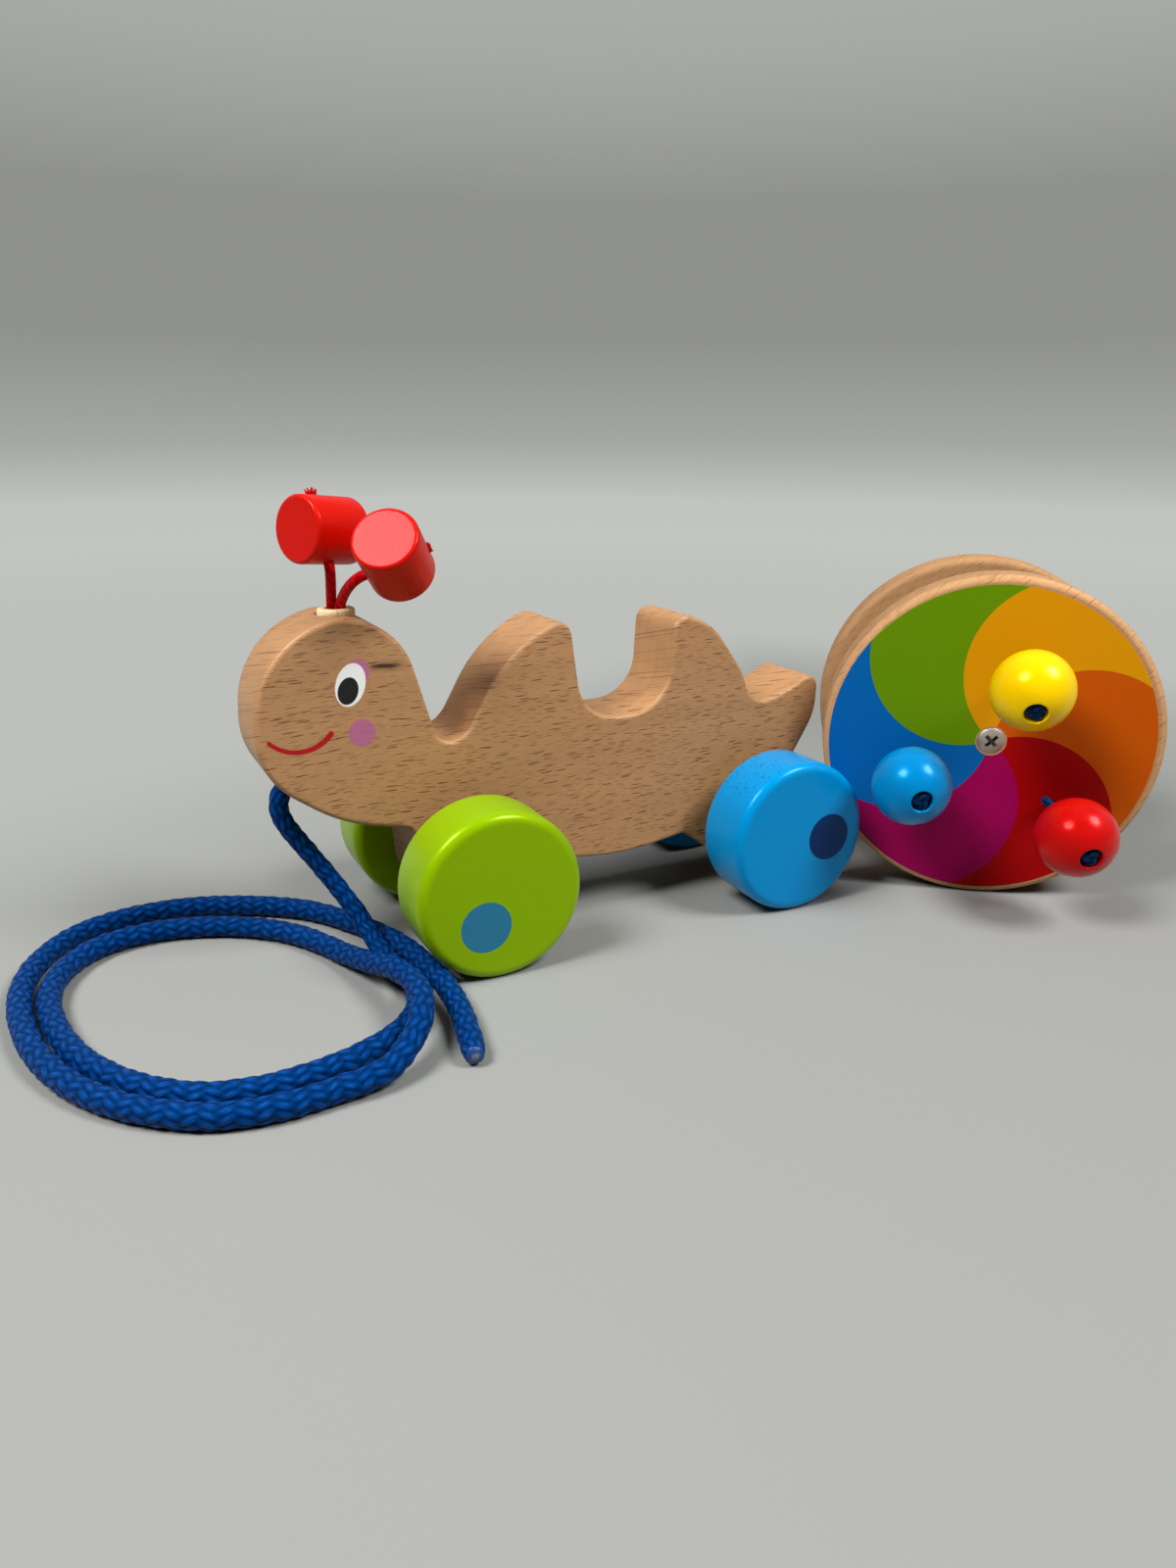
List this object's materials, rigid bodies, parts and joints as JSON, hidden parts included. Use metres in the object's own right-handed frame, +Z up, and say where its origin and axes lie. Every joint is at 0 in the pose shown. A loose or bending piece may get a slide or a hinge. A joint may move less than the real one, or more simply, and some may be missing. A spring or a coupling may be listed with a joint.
{
  "type": "wheeled pull toy",
  "caption": "Wooden pull toy: a flat body on wheels with cord feelers, a round two-disc shell that lifts off its notch and carries beads on strings, and a looped pull cord.",
  "frame": {"origin": "on the floor, midway between the two axles, on the body's mid-plane", "axes": "+X from the head to the tail, +Y away from the near side that the picture shows, +Z up"},
  "size_m": [0.3494, 0.1377, 0.1252],
  "materials": {
    "beech": "satin, clear",
    "dowel": "bare",
    "green_lacquer": "glossy lacquer",
    "blue_lacquer": "glossy lacquer",
    "red_lacquer": "glossy lacquer",
    "crimson_cord": "twisted cord",
    "blue_rope": "braided",
    "printed_beech": "satin, painted pinwheel on the outer face",
    "zinc": "satin",
    "yellow_lacquer": "glossy lacquer",
    "bright_blue_lacquer": "glossy lacquer",
    "bead_red_lacquer": "glossy lacquer",
    "navy_string": "twisted cord"
  },
  "bodies": {
    "toy": {"body": "beech", "antenna_plug": "dowel", "pull_cord": "blue_rope", "pull_cord_loops": "blue_rope"},
    "front_wheels": {"front_axle": "dowel", "front_wheel_near": "green_lacquer", "front_wheel_far": "green_lacquer"},
    "rear_wheels": {"rear_axle": "dowel", "rear_wheel_near": "blue_lacquer", "rear_wheel_far": "blue_lacquer"},
    "feeler_left": {"antenna_cord_left": "crimson_cord", "antenna_barrel_left": "red_lacquer"},
    "feeler_right": {"antenna_cord_right": "crimson_cord", "antenna_barrel_right": "red_lacquer"},
    "shell_core": {"shell_hub": "beech", "shell_screw_front": "zinc", "shell_screw_back": "zinc"},
    "shell_front": {"shell_disc_front": "printed_beech"},
    "shell_back": {"shell_disc_back": "printed_beech"},
    "yellow_bead": {"bead_yellow": "yellow_lacquer", "bead_string_yellow": "navy_string"},
    "blue_bead": {"bead_blue": "bright_blue_lacquer", "bead_string_blue": "navy_string"},
    "red_bead": {"bead_red": "bead_red_lacquer", "bead_string_red": "navy_string"}
  },
  "joints": [
    {"name": "front_wheels_turn", "type": "hinge", "parent": "toy", "child": "front_wheels", "pos_m": [-0.0485, 0, 0.02325], "axis": [0, 1, 0], "continuous": true},
    {"name": "rear_wheels_turn", "type": "hinge", "parent": "toy", "child": "rear_wheels", "pos_m": [0.0485, 0, 0.02325], "axis": [0, 1, 0], "continuous": true},
    {"name": "feeler_left_sway", "type": "hinge", "parent": "toy", "child": "feeler_left", "pos_m": [-0.0778, 0, 0.09565], "axis": [1, 0, 0], "range_deg": [-12, 12], "stiffness_Nm_per_rad": 0.03, "springref_deg": 0.04},
    {"name": "feeler_right_sway", "type": "hinge", "parent": "toy", "child": "feeler_right", "pos_m": [-0.0778, 0, 0.09565], "axis": [1, 0, 0], "range_deg": [-12, 12], "stiffness_Nm_per_rad": 0.03, "springref_deg": -0.82},
    {"name": "shell_lift", "type": "slide", "parent": "toy", "child": "shell_core", "axis": [0, 0, 1], "range_m": [0, 0.12]},
    {"name": "shell_front_turn", "type": "hinge", "parent": "shell_core", "child": "shell_front", "pos_m": [0.107, -0.0524, 0.05], "axis": [0.6115, 0.7912, 0], "continuous": true},
    {"name": "shell_back_turn", "type": "hinge", "parent": "shell_core", "child": "shell_back", "pos_m": [0.14369, -0.00493, 0.05], "axis": [0.6115, 0.7912, 0], "continuous": true},
    {"name": "yellow_bead_swing", "type": "hinge", "parent": "shell_front", "child": "yellow_bead", "pos_m": [0.11255, -0.05669, 0.07814], "axis": [0.7912, -0.6115, 0], "range_deg": [-20, 12], "stiffness_Nm_per_rad": 0.05, "springref_deg": -1},
    {"name": "blue_bead_swing", "type": "hinge", "parent": "shell_front", "child": "blue_bead", "pos_m": [0.08494, -0.03535, 0.04201], "axis": [0.7912, -0.6115, 0], "range_deg": [-20, 12], "stiffness_Nm_per_rad": 0.05, "springref_deg": -1},
    {"name": "red_bead_swing", "type": "hinge", "parent": "shell_front", "child": "red_bead", "pos_m": [0.12351, -0.06516, 0.02985], "axis": [0.7912, -0.6115, 0], "range_deg": [-20, 12], "stiffness_Nm_per_rad": 0.05, "springref_deg": -1.13}
  ]
}
